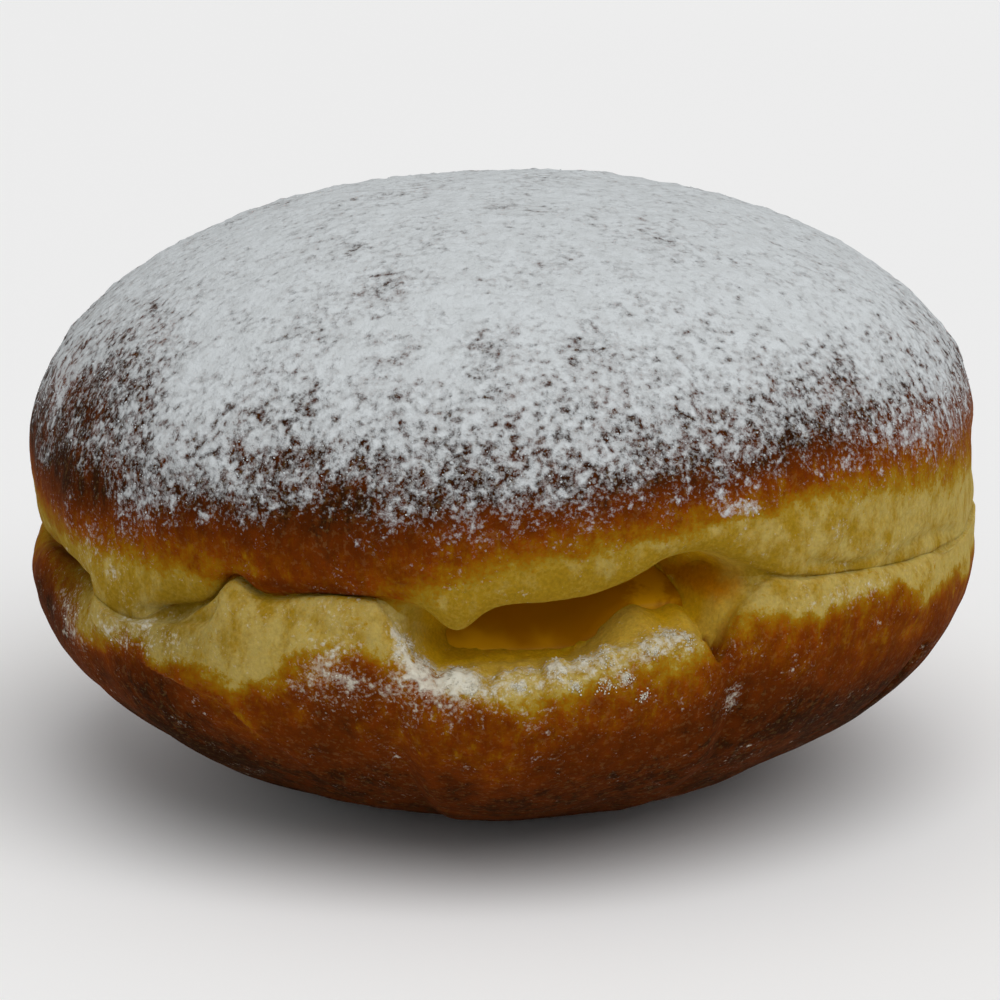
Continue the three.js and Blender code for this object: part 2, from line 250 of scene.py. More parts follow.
def bun_section(azimuth):
    """Radius and height of every row of the bun's skin, from the base's middle to the crown."""
    azimuth = azimuth[:, None]
    s = section_sizes(azimuth)
    rows = []

    def share_of(count):
        return np.arange(count)[None, :] / count

    share = share_of(BASE_ROWS)
    rows.append((BASE_RADIUS * share + 0 * azimuth, 0 * share + 0 * azimuth))

    start = np.arcsin((BASE_RADIUS / s["lower_radius"]) ** (s["underside_power"] / 2)) / (math.pi / 2)
    drop = s["lower_equator"] / quarter(start, s["underside_power"])[0]
    share = share_of(UNDERSIDE_ROWS)
    down, out = quarter(blend(start, 1, share), s["underside_power"])
    height = np.maximum(0, s["lower_equator"] - drop * down)
    rows.append((s["lower_radius"] * out + lower_relief(azimuth, height) * (share > 0), height))

    rim_radius = s["lower_radius"] - s["shoulder"]
    out, up = quarter(share_of(SHOULDER_ROWS), SHOULDER_POWER)
    height = blend(s["lower_equator"], s["rim"], up)
    rows.append((blend(rim_radius, s["lower_radius"], out) + lower_relief(azimuth, height), height))

    lip_radius = s["upper_radius"] - s["shoulder"]
    back_radius = np.minimum(rim_radius, lip_radius) - s["depth"]
    fold_back = blend(s["rim"], s["lip"], blend(FOLD_BACK, POCKET_BACK, s["pocket"]))
    back_height = blend(fold_back, s["ledge"] + FLOOR_RISE, s["mouth"])
    share = share_of(FLOOR_ROWS)
    kept = lower_relief(azimuth, s["rim"]) * (1 - share)
    fold_floor = blend(s["rim"], fold_back, share ** blend(FOLD_BEND, POCKET_BEND, s["pocket"]))
    mouth_floor = blend(s["rim"], s["ledge"], smooth(share / LEDGE_SHARE)) + FLOOR_RISE * share ** 2
    height = blend(fold_floor, mouth_floor, s["mouth"])
    rows.append((blend(rim_radius, back_radius, share) + kept, height))
    share = share_of(ROOF_ROWS)
    height = blend(s["lip"], back_height, (1 - share) ** blend(FOLD_BEND, ROOF_BEND, s["mouth"]))
    rows.append((blend(back_radius, lip_radius, share), height))

    down, out = quarter(share_of(SHOULDER_ROWS), SHOULDER_POWER)
    rows.append((blend(lip_radius, s["upper_radius"], out), blend(s["upper_equator"], s["lip"], down)))
    out, up = quarter(np.arange(DOME_ROWS + 1)[None, :] / DOME_ROWS, s["dome_power"])
    rows.append((s["upper_radius"] * out, blend(s["upper_equator"], BUN_HEIGHT, up)))
    return np.concatenate([r for r, _ in rows], 1), np.concatenate([h for _, h in rows], 1)


def crown_shift(height):
    return APEX_SHIFT * smooth((height - UPPER_EQUATOR) / (BUN_HEIGHT - UPPER_EQUATOR))


def place(azimuth, radius, height):
    """Points in mm from azimuth, radius and height."""
    x = radius * np.sin(np.radians(azimuth)) + crown_shift(height)
    return np.stack([x, -radius * np.cos(np.radians(azimuth)), height + 0 * x], -1)


def front_crowded(count):
    turn = np.arange(count) / count * 2 * math.pi - math.pi
    return np.degrees(turn - FRONT_CROWDING * np.sin(turn))


def mesh_object(name, points, faces):
    """A smooth piece in the scene, from points in mm."""
    mesh = bpy.data.meshes.new(name)
    mesh.from_pydata((points * MM).tolist(), [], faces)
    mesh.shade_smooth()
    piece = bpy.data.objects.new(name, mesh)
    bpy.context.scene.collection.objects.link(piece)
    return piece


def skin_object(name, points):
    """A closed mesh from points[column, row], whose first and last rows are the two poles."""
    columns, rings = points.shape[0], points.shape[1] - 2
    corners = [points[:1, 0], points[:, 1:-1].swapaxes(0, 1).reshape(-1, 3), points[:1, -1]]
    column = np.arange(columns)
    following = (column + 1) % columns
    ring = 1 + np.arange(rings - 1)[:, None] * columns
    above = ring + columns
    quads = np.stack([ring + column, ring + following, above + following, above + column], -1)
    top = rings * columns + 1
    last = 1 + (rings - 1) * columns
    caps = [np.stack([0 * column, 1 + following, 1 + column], -1),
            np.stack([last + column, last + following, 0 * column + top], -1)]
    faces = quads.reshape(-1, 4).tolist() + np.concatenate(caps).tolist()
    return mesh_object(name, np.concatenate(corners), faces)


def read(mesh, domain, key, width):
    values = np.zeros(len(domain) * width, np.float32)
    domain.foreach_get(key, values)
    return values.reshape(-1, width).astype(float)


def points_of(mesh):
    """Each point's place in mm, its normal, and its azimuth, radius and height on the bun."""
    spots = read(mesh, mesh.vertices, "co", 3) / MM
    normals = read(mesh, mesh.vertex_normals, "vector", 3)
    x = spots[:, 0] - crown_shift(spots[:, 2])
    azimuth = np.degrees(np.arctan2(x, -spots[:, 1]))
    return spots, normals, azimuth, np.hypot(x, spots[:, 1]), spots[:, 2]


NOISE_SOFTNESS = 0.9
NOISE_STEP = 2.1  # each octave is this many times finer than the one before


def clouds(spots, size, octaves, tall=1, squash=(1, 1, 1)):
    """Soft noise of one grain size in mm, from about -1 to 1 times its height, at each place."""
    scaled = (spots * np.array(squash) / size).tolist()
    return tall * np.array([noise.fractal(p, NOISE_SOFTNESS, NOISE_STEP, octaves) for p in scaled])


def push_out(mesh, distance):
    """Moves every point of the skin along its normal, by a distance in mm."""
    spots, normals, *_ = points_of(mesh)
    moved = (spots + normals * distance[:, None]) * MM
    mesh.vertices.foreach_set("co", moved.astype(np.float32).ravel())
    mesh.update()


def lesser_radius(sizes):
    return np.minimum(sizes["upper_radius"], sizes["lower_radius"])


def on_upper_lobe(sizes, height):
    return height > blend(sizes["rim"], sizes["lip"], 0.5)


def paint(mesh, name, values):
    layer = mesh.attributes.get(name) or mesh.attributes.new(name, "FLOAT", "POINT")
    layer.data.foreach_set("value", values.astype(np.float32))


azimuths = front_crowded(COLUMNS)
radii, heights = bun_section(azimuths)
bun = skin_object("bun", place(azimuths[:, None], radii, heights))

# The crust is gently uneven, the belt is drawn into fine upright wrinkles, the torn crumb is rough,
# and a few creases run where the dough has folded on itself.
CRUST_SWELL = (15, 2, 0.35)  # size across, octaves and height of each relief, in mm
CRUST_DIMPLES = (3.6, 3, 0.07)
BELT_WRINKLES = (1.6, 3, 0.05, (1, 1, 0.5))  # and how it is squashed
BELT_PUFFS = (6.5, 2, 0.36)
TORN_CRUMB = (1.3, 4, 0.30)
SKIN_DEPTH = 3.4  # the surface is crumb this deep in the fold, and skin from this much further out
SKIN_FADE = 2.6
FOLD_REACH = 8  # the fold is nowhere further than this above or below the lip
BELT = (17, 38, 3)  # from, to and fade
TEAR_TOP = 1.2  # how far the torn crumb reaches above the rim and below it
TEAR_TOP_FADE = 1.4
TEAR_FOOT = 2.6
TEAR_FOOT_FADE = 1.6
LEDGE_INSIDE = 40  # the ledge is half as rough as the rim, outside this radius, and the roof less
LEDGE_FADE = 2
LEDGE_ROUGHNESS = 0.5
ROOF_ROUGHNESS = 0.25
SWELL_FOOT = 5  # the swell fades out below this height, and all relief below the next
RELIEF_FOOT = 1.5
CREASES = [  # points along each crease, then its depth and width in mm
    ([(38, 29.6), (45, 28.3), (49.5, 28.9)], 0.45, 0.5),
    ([(52, 28.0), (57.6, 28.7), (62.4, 28.4), (70, 27.4)], 0.4, 0.7),
    ([(62, 17.5), (60.5, 15), (61, 12)], 0.8, 0.8),
    ([(72, 16.5), (69.5, 13.5), (68, 11)], 1.0, 0.9),
    ([(-46, 24.3), (-41, 24.4), (-35, 25.2), (-34.2, 26.4)], 0.55, 0.5),
    ([(-24, 26.5), (-20, 25.6), (-14, 24.6)], 0.25, 0.8),
]
DENT = (20.6, 26.2, 2.6, 1.4, 0.9)  # a small dent in the pocket's floor

spots, _, azimuth, radius, height = points_of(bun.data)
sizes = section_sizes(azimuth)
outside = smooth((radius - lesser_radius(sizes) + SKIN_DEPTH) / SKIN_FADE)
outside = np.where(np.abs(height - sizes["lip"]) < FOLD_REACH, outside, 1)
upper = on_upper_lobe(sizes, height)
belt_from, belt_to, belt_fade = BELT
in_belt = smooth((height - belt_from) / belt_fade) * smooth((belt_to - height) / belt_fade)
in_tear = sizes["torn"] * smooth((sizes["rim"] + TEAR_TOP - height) / TEAR_TOP_FADE)
in_tear *= smooth((height - sizes["rim"] + TEAR_FOOT) / TEAR_FOOT_FADE)
on_ledge = sizes["mouth"] * (1 - outside) * np.where(upper, ROOF_ROUGHNESS, 1)
on_ledge *= smooth((radius - LEDGE_INSIDE) / LEDGE_FADE)
relief = clouds(spots, *CRUST_SWELL) * smooth(height / SWELL_FOOT) * outside
relief += clouds(spots, *CRUST_DIMPLES) * outside
relief += clouds(spots, *BELT_WRINKLES) * in_belt * outside
relief += clouds(spots, *BELT_PUFFS) * in_belt * outside
relief += clouds(spots, *TORN_CRUMB) * np.maximum(in_tear, LEDGE_ROUGHNESS * on_ledge)
for line, depth, width in CREASES:
    relief -= depth * np.exp(-(from_line(line, azimuth, height) / width) ** 2) * outside
relief -= patch(azimuth, height, *DENT) * (1 - outside) * ~upper
push_out(bun.data, relief * smooth(height / RELIEF_FOOT))

# How far each place has browned in the fat, from 0, raw pale, to 1, almost black, with painted
# shade added under the bun and along the fold. Each edge has one height all round, and then its
# waves: azimuth, width and rise.
PALE_TOP = [32.5, (-58, 34, -3.9), (-20, 13.5, -5.4), (40, 26, 3.1)]  # the belt ends here above
DARK_TOP = [37, (-65, 40, -4.4), (-18, 12, -1.3), (60, 38, 3.6)]  # and the crust is dark from here up
PALE_FOOT = [  # the belt ends here below
    23.5, (-66, 16, -3.0), (-56, 5, -1.2), (-40, 9, -2.0), (-30, 7, -2.7), (-15, 5, 0.8), (3, 9, -3.7),
    (31, 6, 1.6), (44, 15, 2.0)]
TOP_START = 0.2  # browning at the pale top, what it gains up to the dark top, and its most
TOP_GAIN = 0.52
TOP_LIMIT = 0.84
FOOT_START = 0.12  # browning at the pale foot, what it gains for each mm below, and its most
FOOT_GAIN = 0.14
SOFT_FOOT = (-30, 13, -0.03)  # azimuth, width, less gain
FOOT_TOP = 0.40
DEEP_START = 2  # from this many mm below, it gains this much more for each mm: the underside's own browning, made deeper as painted shade under the bun
DEEP_GAIN = 0.036
DEEP_TOP = 0.78
DARK_SIDE = (-58, 20, 0.14)  # azimuth, width, and how much darker the lower crust gets on this side
DARK_SIDE_FADE = 3
BLOTCHES = (5.5, 4)  # size across in mm and octaves
FINE_BLOTCHES = (2.4, 4)
FINE_BLOTCHES_FROM = 50  # mm away in the noise, so that the two don't match
PALE_TOP_WAVER = 0.7  # mm by which the blotches move each edge, and what they add to the browning
DARK_TOP_WAVER = 0.9
PALE_FOOT_WAVER = 0.8
PALE_FOOT_FINE_WAVER = 0.3
BLOTCH_BROWNING = 0.08
FINE_BLOTCH_BROWNING = 0.06
CRUMB_BROWNING = 0.2  # the most inside the fold
CRUMB_BLOTCH_BROWNING = 0.1
STAINS_AND_FOLD_SHADE = [  # browner and paler places, and a band of painted shade along the fold: azimuth, height, width, how tall, browning
    (-77, 22.5, 11, 5.5, 0.34),
    (-66, 20, 6, 3.5, 0.12),
    (-57, 25, 5, 2.5, 0.10),
    (-74, 41.5, 5, 2.2, -0.24),
    (-46, 17.5, 5, 3.2, 0.20),
    (-30.3, 15.2, 1.1, 1.3, -0.16),
    # painted shade: a brown band along the shallow fold left of the mouth
    (-22, 28.7, 11, 0.7, 0.22),
    (-18, 21.5, 4, 3.5, 0.08),
    (28, 18, 4, 4, 0.10),
    (60, 16, 3, 3, 0.10),
    (38, 17, 4, 3, 0.08),
    (64, 12, 14, 6, 0.16),
    (42, 17, 10, 4, 0.09),
    (-42, 12, 14, 4, 0.15),
    (-8, 12.5, 9, 4, -0.10),
    (-11, 16.5, 5, 2.5, -0.08),
    (50, 20, 12, 3, -0.06),
]

SOAKED = (20.6, 26.2, 2.8, 1.7)  # jelly has soaked into the crumb here, and inside these radii
SOAKED_RADIUS = [39.8, (-8, 6, 1.4), (14, 5, -3.0), (24, 3.5, 0.6)]
SOAK_FADE = 2.4
STAINED = (26.4, 28.2, 3.7, 1.7)  # a redder stain in the pocket: azimuth, height, width, how tall
PAINTED_SHADE_PLACES = [  # painted shade: deeper colour where the skin lies in shade, at the overhang, the left side and the pocket
    (-71, 22.5, 11, 5, 0.42),
    (-42, 23, 10, 3.5, 0.30),
    (26.5, 28.6, 3.5, 1.6, 0.35),
]
MOUTH_EDGE = 0.4  # the share of the mouth's or the pocket's depth at which all is bare crumb
FOLD_SHADE_REACH = 3  # painted shade reaches this many mm from the fold, where the lobes curl in; the belt is this damp all over, and these shares of the shade lie on the lip and on the rim
MOIST_BELT = 0.25
LIP_SHADE = 0.75
RIM_SHADE = 0.25
BELT_SHADE_PLACES = [(-52, 16, 0.35), (1, 12, 0.3), (38, 12, 0.15)]  # painted shade on the upper belt: azimuth, width, and how much more

spots, _, azimuth, radius, height = points_of(bun.data)
blotch = clouds(spots, *BLOTCHES)
fine_blotch = clouds(spots + FINE_BLOTCHES_FROM, *FINE_BLOTCHES)
pale_top = add_waves(azimuth, PALE_TOP[0], PALE_TOP[1:]) + PALE_TOP_WAVER * blotch
dark_top = add_waves(azimuth, DARK_TOP[0], DARK_TOP[1:]) + DARK_TOP_WAVER * blotch
pale_foot = add_waves(azimuth, PALE_FOOT[0], PALE_FOOT[1:]) + PALE_FOOT_WAVER * blotch
pale_foot += PALE_FOOT_FINE_WAVER * fine_blotch
upper_browning = TOP_START + TOP_GAIN * (height - pale_top) / (dark_top - pale_top)
upper_browning = np.minimum(upper_browning, TOP_LIMIT)
below = pale_foot - height
lower_browning = np.minimum(FOOT_START + add_waves(azimuth, FOOT_GAIN, [SOFT_FOOT]) * below, FOOT_TOP)
# partly painted shade: the crust darkens further towards the table
lower_browning += np.clip(DEEP_GAIN * (below - DEEP_START), 0, DEEP_TOP - FOOT_TOP)
lower_browning += add_waves(azimuth, 0, [DARK_SIDE]) * smooth(below / DARK_SIDE_FADE)
browning = np.where(upper, upper_browning, lower_browning)
browning += BLOTCH_BROWNING * blotch
browning += FINE_BLOTCH_BROWNING * fine_blotch
crumb_browning = np.minimum(browning, CRUMB_BROWNING + CRUMB_BLOTCH_BROWNING * blotch)
browning = np.maximum(np.where(outside > 0.5, browning, crumb_browning), 0)
for browning_patch in STAINS_AND_FOLD_SHADE:
    browning += patch(azimuth, height, *browning_patch)
paint(bun.data, "browning", np.clip(browning, 0, 1))
in_mouth = smooth(np.maximum(sizes["mouth"], sizes["pocket"]) / MOUTH_EDGE)
paint(bun.data, "crumb", (1 - outside) * in_mouth)
soaked_radius = add_waves(azimuth, SOAKED_RADIUS[0], SOAKED_RADIUS[1:])
near_jelly = smooth(0.5 + (soaked_radius - radius) / SOAK_FADE) * in_mouth
paint(bun.data, "soaked", np.maximum(patch(azimuth, height, *SOAKED), near_jelly))
paint(bun.data, "stained", patch(azimuth, height, *STAINED))
# painted shade, as the share by which the skin's colour is darkened
paint(bun.data, "painted_shade", sum(patch(azimuth, height, *place) for place in PAINTED_SHADE_PLACES))
from_fold = np.where(upper, height - sizes["lip"], sizes["rim"] - height)
near_fold = np.exp(-np.maximum(0, from_fold) / FOLD_SHADE_REACH) * sizes["open"]
# painted shade near the fold, most under the lip, and on parts of the upper belt
upper_shade = LIP_SHADE * near_fold + add_waves(azimuth, 0, BELT_SHADE_PLACES)
paint(bun.data, "damp_and_shade", MOIST_BELT + np.where(upper, upper_shade, RIM_SHADE * near_fold))


OCTAVE_SPREAD = 0.14  # how far one octave of the Noise Texture mostly lies from its middle


class Wire:
    """A socket of a finish. Sums and products of wires and numbers add the Math nodes for them."""

    def __init__(self, tree, socket=None):
        self.tree = tree
        self.socket = socket

    def node(self, kind, settings=None, sockets=None, output=0):
        """Adds one node: its settings first, and then the values or links of its sockets."""
        made = self.tree.nodes.new(kind)
        for key, value in (settings or {}).items():
            if key == "stops":
                ramp = made.color_ramp
                for stop, (at, colour) in enumerate(value):
                    element = ramp.elements[stop] if stop < 2 else ramp.elements.new(at)
                    element.position = at
                    element.color = (*colour, 1)
            else:
                setattr(made, key, value)
        for key, value in (sockets or {}).items():
            if isinstance(value, Wire):
                self.tree.links.new(value.socket, made.inputs[key])
            else:
                made.inputs[key].default_value = value
        return Wire(self.tree, made.outputs[output] if made.outputs else None)

    def math(self, operation, *values):
        return self.node("ShaderNodeMath", {"operation": operation}, dict(enumerate(values)))

    def __add__(self, other):
        return self.math("ADD", self, other)

    def __sub__(self, other):
        return self.math("SUBTRACT", self, other)

    def __rsub__(self, other):
        return self.math("SUBTRACT", other, self)

    def __mul__(self, other):
        return self.math("MULTIPLY", self, other)

    def __truediv__(self, other):
        return self.math("DIVIDE", self, other)

    __radd__ = __add__
    __rmul__ = __mul__

    def between(self, low, high):
        """0 below low and 1 above high, with a soft start and end."""
        return self.node("ShaderNodeMapRange", {"interpolation_type": "SMOOTHSTEP"},
                         {"Value": self, "From Min": low, "From Max": high})

    def larger(self, other):
        return self.math("MAXIMUM", self, other)

    def smaller(self, other):
        return self.math("MINIMUM", self, other)

    def grain(self, size, detail, roughness, stretch=(1, 1, 1)):
        """Noise with grains of one size in mm, 0 on average and mostly within 1 either way."""
        scale = [side / (size * MM) for side in stretch]
        scaled = self.node("ShaderNodeVectorMath", {"operation": "MULTIPLY"}, {0: self, 1: scale})
        shares = roughness ** np.arange(detail + 1)
        spread = OCTAVE_SPREAD * math.sqrt((shares ** 2).sum()) / shares.sum()
        wide = self.node("ShaderNodeTexNoise", {},
                         {"Vector": scaled, "Scale": 1, "Detail": detail, "Roughness": roughness})
        return (wide - 0.5) / spread

    def mix(self, first, second):
        """The first colour where the wire is 0 and the second where it is 1."""
        first, second = [one if isinstance(one, Wire) else (*one, 1) for one in (first, second)]
        return self.node("ShaderNodeMix", {"data_type": "RGBA"}, {0: self, 6: first, 7: second}, 2)

    def times(self, value):
        """A colour made lighter or darker."""
        return self.node("ShaderNodeVectorMath", {"operation": "SCALE"}, {0: self, "Scale": value})


def finish_of(piece, name):
    """A new material on a piece, with the places on the piece as its first wire."""
    material = bpy.data.materials.new(name)
    material.use_nodes = True
    material.node_tree.nodes.clear()
    piece.data.materials.clear()
    piece.data.materials.append(material)
    return Wire(material.node_tree).node("ShaderNodeTexCoord", output="Object")


def attribute(here, name):
    return here.node("ShaderNodeAttribute", {"attribute_name": name}, output="Fac")


def along(here, axis):
    """The place on one axis, in mm."""
    return here.node("ShaderNodeSeparateXYZ", {}, {0: here}, axis) / MM


def bumps(here, height):
    """Fine bumps of a height in mm."""
    return here.node("ShaderNodeBump", {}, {"Height": height, "Distance": MM})


def shader(here, sockets):
    return here.node("ShaderNodeBsdfPrincipled", {}, sockets)


def show(surface):
    surface.node("ShaderNodeOutputMaterial", {}, {"Surface": surface})


RAW_BELT = (0.40, 0.295, 0.078)
# the belt's oily tone, which also gives the painted shade near the fold its colour
OILY_AND_SHADED_BELT = (0.29, 0.173, 0.010)
GOLD = (0.24, 0.095, 0.002)
AMBER = (0.18, 0.044, 0.0012)
RED_BROWN = (0.115, 0.021, 0.0012)
DARK_BROWN = (0.069, 0.0145, 0.0018)
BURNT = (0.022, 0.0068, 0.0016)
CRUMB = (0.48, 0.31, 0.037)
JELLY_STAIN = (0.50, 0.29, 0.007)
RED_STAIN = (0.45, 0.165, 0.001)
PALE_FLECK = (0.38, 0.25, 0.09)

BROWNING_STOPS = [  # the first two are the ends
    (0.0, RAW_BELT),
    (0.90, BURNT),
    (0.12, OILY_AND_SHADED_BELT),
    (0.24, GOLD),
    (0.38, AMBER),
    (0.54, RED_BROWN),
    (0.74, DARK_BROWN),
]

STREAKS = (0.85, 4, 0.58, (1, 1, 0.16))  # grains: size in mm, detail, roughness and stretch
MOTTLE = (1.6, 4, 0.6)
FINE = (0.35, 3, 0.6)
DAMP = (2.0, 5, 0.65, (1, 1, 0.7))
FLECKS = (0.5, 2, 0.6)
BROWN_BY = {"mottle": 0.035, "streaks": 0.06, "fine": 0.03}  # what each grain adds to the browning
LIGHTER_BY = {"streaks": 0.16, "fine": 0.06}
STREAKS_FROM = (0.25, 0.45)  # from none to all of it between these two amounts of browning
LIGHT_STREAKS_FROM = (0.2, 0.5)
FLECKS_FROM = (0.2, 0.4)
CRUST_FROM = (0.02, 0.16)
FLECK_EDGE = (0.5, 1.7)  # how far from its middle the grain has to be
FLECK_STRENGTH = 0.08
DAMP_SPREAD = 0.2
DAMP_AND_SHADE_EDGE = (0.1, 0.9)
SOAKED_SPREAD = 0.06
SOAKED_EDGE = (0.1, 0.9)
STAINED_SPREAD = 0.08
STAINED_EDGE = (0.05, 1)
BUMP = {"streaks": 0.006, "mottle": 0.014, "fine": 0.006}  # heights in mm

here = finish_of(bun, "fried_dough")
streaks = here.grain(*STREAKS)
mottle = here.grain(*MOTTLE)
fine = here.grain(*FINE)
browned = attribute(here, "browning")
streaky = browned.between(*STREAKS_FROM) * streaks
browned = browned + mottle * BROWN_BY["mottle"] + streaky * BROWN_BY["streaks"]
browned = browned + fine * BROWN_BY["fine"]
crust = here.node("ShaderNodeValToRGB", {"stops": BROWNING_STOPS}, {"Fac": browned})
# the belt's damp patches, and the painted shade near the fold, draw it from raw towards oily
dampness_and_shade = attribute(here, "damp_and_shade") + here.grain(*DAMP) * DAMP_SPREAD
skin = browned.between(*CRUST_FROM).mix(dampness_and_shade.between(*DAMP_AND_SHADE_EDGE).mix(RAW_BELT, OILY_AND_SHADED_BELT), crust)
flecks = here.grain(*FLECKS).between(*FLECK_EDGE) * FLECK_STRENGTH
skin = (flecks * browned.between(*FLECKS_FROM)).mix(skin, PALE_FLECK)
soaked = (attribute(here, "soaked") + mottle * SOAKED_SPREAD).between(*SOAKED_EDGE)
stained = (attribute(here, "stained") + mottle * STAINED_SPREAD).between(*STAINED_EDGE)
crumb = stained.mix(soaked.mix(CRUMB, JELLY_STAIN), RED_STAIN)
skin = attribute(here, "crumb").mix(skin, crumb)
lighter = streaks * browned.between(*LIGHT_STREAKS_FROM) * LIGHTER_BY["streaks"]
lighter = lighter + fine * LIGHTER_BY["fine"]
# painted shade darkens the skin here, and the light streaks lighten it
skin = skin.times((1 - attribute(here, "painted_shade")) * (1 + lighter))
dough_bump = bumps(here, streaks * BUMP["streaks"] + mottle * BUMP["mottle"] + fine * BUMP["fine"])
dough = shader(here, {"Base Color": skin, "Roughness": 0.7, "Specular IOR Level": 0.008,
                      "Subsurface Weight": 0.25, "Subsurface Radius": (1, 0.45, 0.12),
                      "Subsurface Scale": 1.5 * MM, "Normal": dough_bump})
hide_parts("dough")
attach(bun, "root")


# ==== The jelly ===================================================================================
# A smooth, clear-set amber filling, piped into the middle of the bun and pressed forward until it
# shows in the torn mouth. It makes its own room in the dough and touches it all round.

JELLY_HEIGHT = 26.2
JELLY_MOUTH_HEIGHT = 24.6
JELLY_RADIUS = 19
JELLY_HALF_THICKNESS = 6.2
TONGUE = (-17, 28, 5, 3.5)
TONGUE_REACH = 38.2
TONGUE_LEAN = (1.4, 0.9)  # above the ledge its face falls back by this many mm, and by this power
JELLY_POWER = 3
JELLY_COLUMNS = 160
JELLY_ROWS = 60
JELLY_SWELL = (8, 2, 0.08)

azimuths = front_crowded(JELLY_COLUMNS)[:, None]
tongue = stretch(azimuths, TONGUE)
angle = np.arange(JELLY_ROWS + 1)[None, :] / JELLY_ROWS * math.pi
radii = blend(JELLY_RADIUS, TONGUE_REACH, tongue) * np.sin(angle) ** (2 / JELLY_POWER)
side = -np.sign(np.cos(angle)) * np.abs(np.cos(angle)) ** (2 / JELLY_POWER)
middle = blend(JELLY_HEIGHT, JELLY_MOUTH_HEIGHT, tongue * np.clip(radii / TONGUE_REACH, 0, 1))
rise = np.maximum(0, middle + JELLY_HALF_THICKNESS * side - section_sizes(azimuths)["ledge"])
radii = radii * (1 - tongue * TONGUE_LEAN[0] * rise ** TONGUE_LEAN[1] / TONGUE_REACH)
turns = np.radians(azimuths)
heights = middle + JELLY_HALF_THICKNESS * side
points = np.stack([radii * np.sin(turns), -radii * np.cos(turns), heights], -1)
points[:, 0] = (0, 0, JELLY_HEIGHT - JELLY_HALF_THICKNESS)
points[:, -1] = (0, 0, JELLY_HEIGHT + JELLY_HALF_THICKNESS)
jelly = skin_object("jelly_filling", points)
push_out(jelly.data, clouds(points_of(jelly.data)[0], *JELLY_SWELL))

SHARP_EDGE = 60  # degrees
ROOM_RADIUS = 39  # only the room and the mouth lie this near the middle at the jelly's heights
ROOM_HALF_HEIGHT = 7.2

room = bun.modifiers.new("room", "BOOLEAN")
room.operation = "DIFFERENCE"
room.solver = "MANIFOLD"
room.object = jelly
filled = bpy.data.meshes.new_from_object(bun.evaluated_get(bpy.context.evaluated_depsgraph_get()))
bun.modifiers.clear()
bun.data = filled
filled.set_sharp_from_angle(angle=math.radians(SHARP_EDGE))

# The walls of the room are bare crumb that the jelly has soaked into.
*_, radius, height = points_of(filled)
crumb_here, soaked_here = [read(filled, filled.attributes[name].data, "value", 1)[:, 0]
                           for name in ("crumb", "soaked")]
in_room = (radius < ROOM_RADIUS) & (np.abs(height - JELLY_HEIGHT) < ROOM_HALF_HEIGHT)
bare_wall = in_room & (crumb_here == 0)
paint(filled, "crumb", np.where(bare_wall, 1, crumb_here))
paint(filled, "soaked", np.where(bare_wall, 1, soaked_here))

JELLY_AMBER = (0.64, 0.325, 0.004)
JELLY_SHADED = (0.35, 0.138, 0.0003)
SHADE_HEIGHTS = (21.5, 24.6)  # from light amber to the painted shade under the lip
SHADE_LOWER_RIGHT = 0.09  # mm by which the painted shade comes lower for each mm towards +X
CRUMB_UNDER_FROM = (10.8, 12.6)  # crumb shines through between these places towards +X
CRUMB_UNDER_TO = (13.6, 15.4)
CRUMB_UNDER_STRENGTH = 0.7
JELLY_CLOUDS = (4, 2, 0.5)
JELLY_WAVER = 0.5  # mm by which the clouds move the edges of each colour
END_CLOUDS = (1.4, 3, 0.6)
JELLY_DIMPLES = (2.5, 1, 0.4)
JELLY_DIMPLE_DEPTH = 0.012

here = finish_of(jelly, "amber_jelly")
to_right = along(here, 0)
wavering = to_right + here.grain(*END_CLOUDS) * JELLY_WAVER
crumb_under = wavering.between(*CRUMB_UNDER_FROM) * (1 - wavering.between(*CRUMB_UNDER_TO))
# painted shade: the jelly darkens towards its top and towards +X, where the lip shades it
jelly_shade = along(here, 2) + to_right * SHADE_LOWER_RIGHT + here.grain(*JELLY_CLOUDS) * JELLY_WAVER
jelly_shade = jelly_shade.between(*SHADE_HEIGHTS) * (1 - CRUMB_UNDER_STRENGTH * crumb_under)
show(shader(here, {"Base Color": jelly_shade.mix(JELLY_AMBER, JELLY_SHADED), "Roughness": 0.3,
                   "Specular IOR Level": 0.06,
                   "Normal": bumps(here, here.grain(*JELLY_DIMPLES) * JELLY_DIMPLE_DEPTH)}))
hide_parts("jelly")
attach(jelly, "root")


# ==== The powdered sugar ==========================================================================
# Icing sugar sieved over the bun: a thick even coat on the crown that thins out in specks and small
# drifts on the shoulders, and a second, rougher lot that has caught on the torn rim of the mouth.

